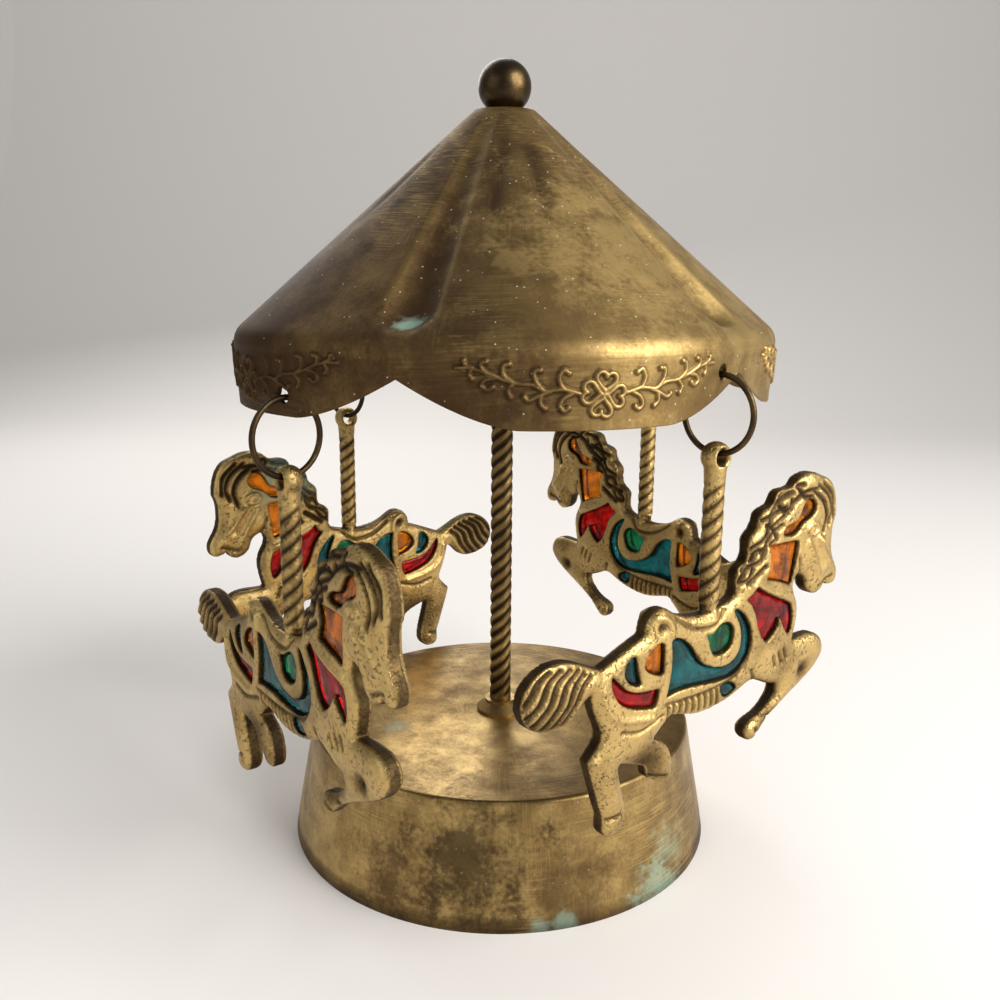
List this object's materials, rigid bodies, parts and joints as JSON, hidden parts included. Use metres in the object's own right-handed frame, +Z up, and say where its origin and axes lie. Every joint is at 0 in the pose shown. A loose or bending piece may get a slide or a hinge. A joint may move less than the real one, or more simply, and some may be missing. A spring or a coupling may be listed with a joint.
{
  "type": "carousel music box",
  "caption": "Brass carousel music box: a conical scalloped canopy on a twisted pole carries ring-hung horses with coloured inlays and turns above a round key-wound base.",
  "frame": {"origin": "on the table at the middle of the base's foot, on the carousel axis", "axes": "+Z up along the carousel axis, -Y to the front of the picture, +X to its right"},
  "size_m": [0.1511, 0.1511, 0.1762],
  "materials": {
    "aged_brass": "aged, patinated",
    "dark_brass": "dark polished",
    "movement_brass": "clean machined",
    "steel": "bright",
    "dark_steel": "dull",
    "amber_resin": "translucent",
    "red_resin": "translucent",
    "teal_resin": "translucent",
    "green_resin": "translucent"
  },
  "bodies": {
    "base": {"base_shell": "aged_brass", "pole_bush": "aged_brass", "mounting_posts": "movement_brass", "bedplate": "movement_brass", "bedplate_screws": "steel", "cover_spacers": "movement_brass", "bottom_cover": "dark_steel", "cover_screws": "steel", "arbor_bush": "movement_brass", "clutch_spring": "steel", "clutch_post": "steel", "inner_bracket": "movement_brass", "outer_bracket": "movement_brass", "comb": "steel", "comb_block": "movement_brass", "comb_screws": "steel"},
    "carousel": {"spring_barrel": "movement_brass", "barrel_cap": "movement_brass", "mainspring": "steel", "drive_hub": "movement_brass", "hub_grub_screw": "steel", "centre_pole": "aged_brass", "seat_washer": "movement_brass", "canopy": "aged_brass", "ball_finial": "dark_brass"},
    "key": {"winding_key": "steel", "winding_arbor": "steel"},
    "cylinder": {"cylinder_arbor": "steel", "crown_pinion": "movement_brass", "pinned_cylinder": "movement_brass", "cylinder_wheel": "movement_brass"},
    "fly": {"fly_arbor": "steel", "fly_pinion": "steel", "fly_vanes": "movement_brass"},
    "ring_1": {"ring_1": "dark_steel"},
    "horse_1": {"horse_1": "aged_brass", "horse_1_amber_glass": "amber_resin", "horse_1_red_glass": "red_resin", "horse_1_teal_glass": "teal_resin", "horse_1_green_glass": "green_resin"},
    "ring_2": {"ring_2": "dark_steel"},
    "horse_2": {"horse_2": "aged_brass", "horse_2_amber_glass": "amber_resin", "horse_2_red_glass": "red_resin", "horse_2_teal_glass": "teal_resin", "horse_2_green_glass": "green_resin"},
    "ring_3": {"ring_3": "dark_steel"},
    "horse_3": {"horse_3": "aged_brass", "horse_3_amber_glass": "amber_resin", "horse_3_red_glass": "red_resin", "horse_3_teal_glass": "teal_resin", "horse_3_green_glass": "green_resin"},
    "ring_4": {"ring_4": "dark_steel"},
    "horse_4": {"horse_4": "aged_brass", "horse_4_amber_glass": "amber_resin", "horse_4_red_glass": "red_resin", "horse_4_teal_glass": "teal_resin", "horse_4_green_glass": "green_resin"}
  },
  "joints": [
    {"name": "carousel_spin", "type": "hinge", "parent": "base", "child": "carousel", "pos_m": [0, 0, 0], "axis": [0, 0, 1], "continuous": true},
    {"name": "key_turn", "type": "hinge", "parent": "base", "child": "key", "pos_m": [0, 0, 0], "axis": [0, 0, -1], "continuous": true},
    {"name": "cylinder_spin", "type": "hinge", "parent": "base", "child": "cylinder", "pos_m": [0, 0, 0.01688], "axis": [1, 0, 0], "continuous": true},
    {"name": "fly_spin", "type": "hinge", "parent": "base", "child": "fly", "pos_m": [0, 0.00908, 0.01688], "axis": [1, 0, 0], "continuous": true},
    {"name": "ring_1_swing", "type": "hinge", "parent": "carousel", "child": "ring_1", "pos_m": [0.04115, -0.03974, 0.11327], "axis": [-0.6947, -0.7193, 0], "range_deg": [-4, 25]},
    {"name": "horse_1_rock", "type": "hinge", "parent": "ring_1", "child": "horse_1", "pos_m": [0.04115, -0.03974, 0.09807], "axis": [-0.6088, 0.7934, 0], "range_deg": [-8, 8]},
    {"name": "ring_2_swing", "type": "hinge", "parent": "carousel", "child": "ring_2", "pos_m": [0.0399, 0.04132, 0.11145], "axis": [0.7193, -0.6947, 0], "range_deg": [-4, 25]},
    {"name": "horse_2_rock", "type": "hinge", "parent": "ring_2", "child": "horse_2", "pos_m": [0.0399, 0.04132, 0.09624], "axis": [-0.7934, -0.6088, 0], "range_deg": [-8, 8]},
    {"name": "ring_3_swing", "type": "hinge", "parent": "carousel", "child": "ring_3", "pos_m": [-0.04245, 0.041, 0.10855], "axis": [0.6947, 0.7193, 0], "range_deg": [-4, 25]},
    {"name": "horse_3_rock", "type": "hinge", "parent": "ring_3", "child": "horse_3", "pos_m": [-0.04245, 0.041, 0.09335], "axis": [0.6088, -0.7934, 0], "range_deg": [-8, 8]},
    {"name": "ring_4_swing", "type": "hinge", "parent": "carousel", "child": "ring_4", "pos_m": [-0.04078, -0.04222, 0.10855], "axis": [-0.7193, 0.6947, 0], "range_deg": [-4, 25]},
    {"name": "horse_4_rock", "type": "hinge", "parent": "ring_4", "child": "horse_4", "pos_m": [-0.04078, -0.04222, 0.09335], "axis": [0.7934, 0.6088, 0], "range_deg": [-8, 8]}
  ],
  "couplings": [
    {"joint": "cylinder_spin", "follows": "carousel_spin", "ratio": 5},
    {"joint": "fly_spin", "follows": "carousel_spin", "ratio": -17.5}
  ]
}
